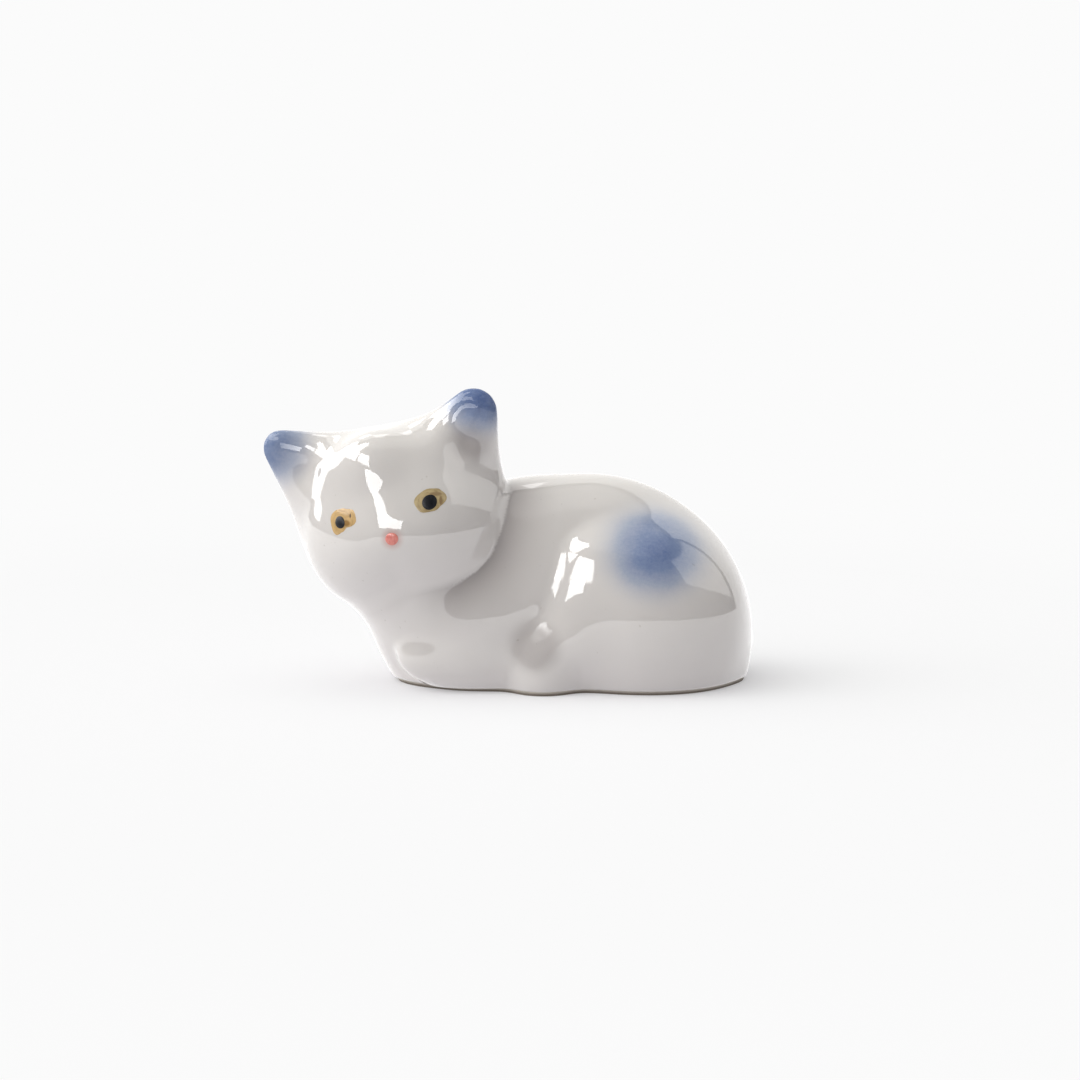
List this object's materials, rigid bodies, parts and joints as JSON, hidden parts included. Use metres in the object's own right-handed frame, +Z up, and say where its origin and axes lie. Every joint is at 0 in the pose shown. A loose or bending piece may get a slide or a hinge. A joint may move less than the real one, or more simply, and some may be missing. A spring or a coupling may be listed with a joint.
{
  "type": "ceramic cat figurine",
  "caption": "Small glazed porcelain kitten lying with its head turned to one side, blue tinted ears and haunch; stands on its flat base as an ornament.",
  "frame": {"origin": "on the resting plane under the middle of the figurine's length, in line with the middle of the trunk", "axes": "+X from the chest to the rump, +Z up, and -Y the side the face looks towards"},
  "size_m": [0.0621, 0.0329, 0.0377],
  "materials": {
    "body_clay": "matte",
    "head_clay": "matte",
    "slip": "matte",
    "clear_glaze": "gloss",
    "ochre_enamel": "gloss",
    "black_enamel": "gloss",
    "pink_enamel": "gloss"
  },
  "bodies": {
    "root": {"body_casting": "body_clay", "head_casting": "head_clay", "neck_slip_joint": "slip", "glaze_coat": "clear_glaze", "right_iris": "ochre_enamel", "left_iris": "ochre_enamel", "right_pupil": "black_enamel", "left_pupil": "black_enamel", "nose_dot": "pink_enamel"}
  },
  "joints": []
}
